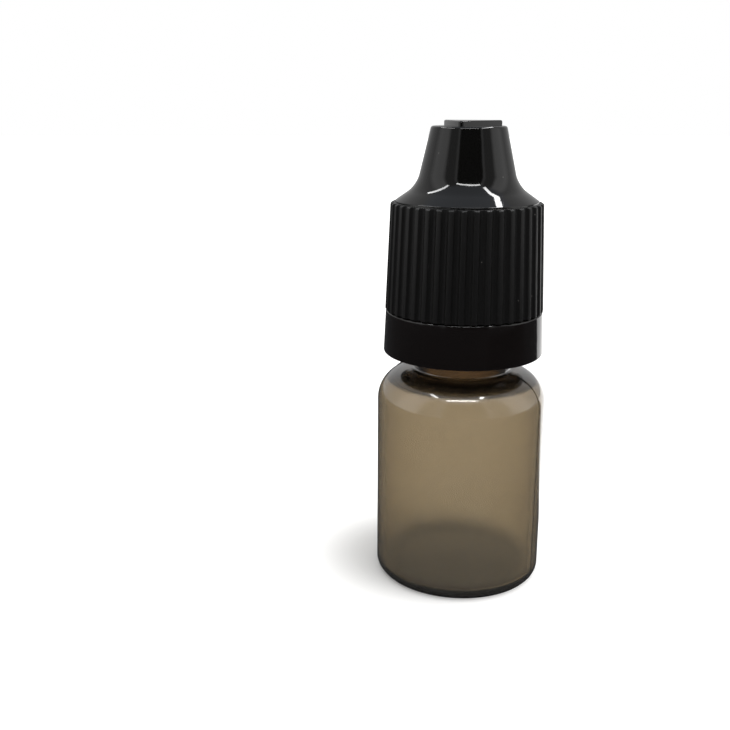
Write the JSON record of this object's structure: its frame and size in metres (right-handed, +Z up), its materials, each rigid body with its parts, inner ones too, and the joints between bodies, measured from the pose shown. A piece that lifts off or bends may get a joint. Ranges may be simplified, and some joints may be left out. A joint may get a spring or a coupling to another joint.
{
  "type": "dropper bottle",
  "caption": "Small round squeeze bottle with a press-in dropper tip and a ribbed, cone-topped push-and-turn closure over a smooth tamper ring.",
  "frame": {"origin": "centre of the base, on the surface the bottle stands on", "axes": "+Z up along the bottle's axis, towards the cap's tip; -Y faces the viewer"},
  "size_m": [0.021, 0.021, 0.0569],
  "materials": {
    "smoky_polyethylene": "translucent smoky brown, soft gloss",
    "natural_polyethylene": "milky natural, soft gloss",
    "black_closure_inside": "black, moulded gloss",
    "black_closure_shell": "black, glossy cone over satin ribs",
    "black_tamper_ring": "black, moulded gloss"
  },
  "bodies": {
    "bottle": {"bottle": "smoky_polyethylene", "dropper_tip": "natural_polyethylene"},
    "tamper_band": {"tamper_band": "black_tamper_ring"},
    "inner_cap": {"inner_cap": "black_closure_inside"},
    "outer_cap": {"outer_cap": "black_closure_shell"}
  },
  "joints": [
    {"name": "closure_turn", "type": "hinge", "parent": "bottle", "child": "tamper_band", "pos_m": [0, 0, 0], "axis": [0, 0, 1], "range_deg": [0, 450]},
    {"name": "closure_lift", "type": "slide", "parent": "tamper_band", "child": "inner_cap", "axis": [0, 0, 1], "range_m": [0, 0.00263]},
    {"name": "shell_play", "type": "slide", "parent": "inner_cap", "child": "outer_cap", "axis": [0, 0, 1], "range_m": [0, 0.0011]}
  ],
  "couplings": [
    {"joint": "closure_lift", "follows": "closure_turn", "m_per_rad": 0.00033423}
  ]
}
